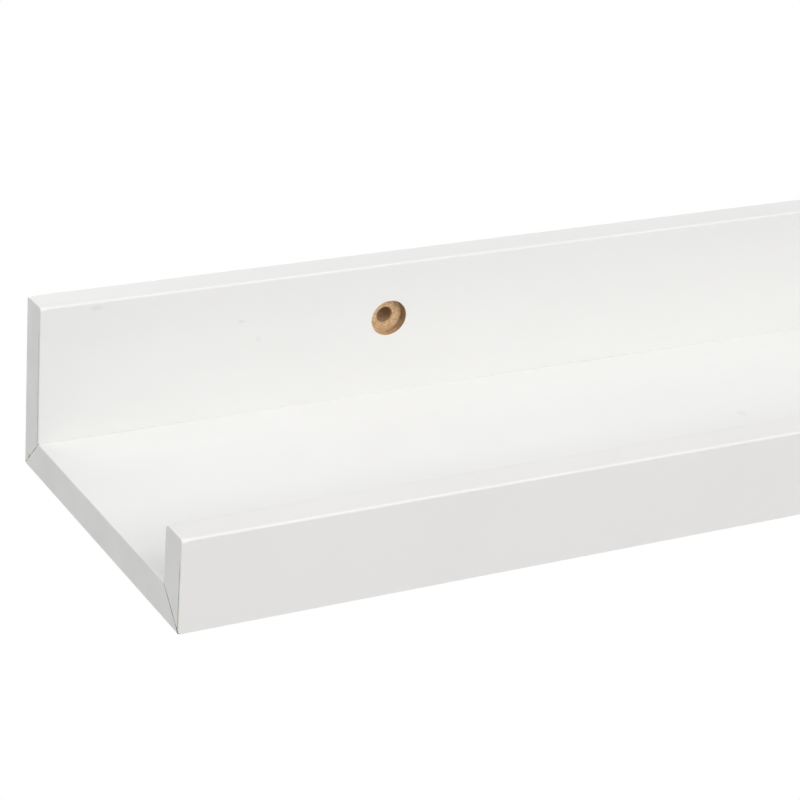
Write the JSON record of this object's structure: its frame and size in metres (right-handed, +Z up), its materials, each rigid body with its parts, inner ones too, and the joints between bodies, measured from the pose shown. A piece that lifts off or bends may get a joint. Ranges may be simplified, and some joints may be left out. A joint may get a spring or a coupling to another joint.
{
  "type": "floating wall shelf",
  "caption": "Long white picture-ledge wall shelf: tall back panel with counterbored screw holes, shelf board and short front lip, mitred at both bottom corners.",
  "frame": {"origin": "middle of the wall face, which is the back of the back panel", "axes": "+X along the shelf, to the right seen from the front; +Y into the wall, so the front lip faces -Y; +Z up"},
  "size_m": [1.067, 0.13, 0.062],
  "materials": {
    "white_board": "fibreboard faced in white, satin; bare tan fibreboard inside the screw holes",
    "white_band": "white edge band, satin",
    "joint_glue": "dried wood glue",
    "brad_steel": "plain steel"
  },
  "bodies": {
    "root": {"back_panel": "white_board", "shelf_board": "white_board", "front_lip": "white_board", "back_panel_end_band_left": "white_band", "back_panel_end_band_right": "white_band", "shelf_board_end_band_left": "white_band", "shelf_board_end_band_right": "white_band", "front_lip_end_band_left": "white_band", "front_lip_end_band_right": "white_band", "back_mitre_glue": "joint_glue", "front_mitre_glue": "joint_glue", "back_joint_brad_1": "brad_steel", "back_joint_brad_2": "brad_steel", "back_joint_brad_3": "brad_steel", "back_joint_brad_4": "brad_steel", "back_joint_brad_5": "brad_steel", "back_joint_brad_6": "brad_steel", "back_joint_brad_7": "brad_steel", "front_joint_brad_1": "brad_steel", "front_joint_brad_2": "brad_steel", "front_joint_brad_3": "brad_steel", "front_joint_brad_4": "brad_steel", "front_joint_brad_5": "brad_steel", "front_joint_brad_6": "brad_steel", "front_joint_brad_7": "brad_steel"}
  },
  "joints": []
}
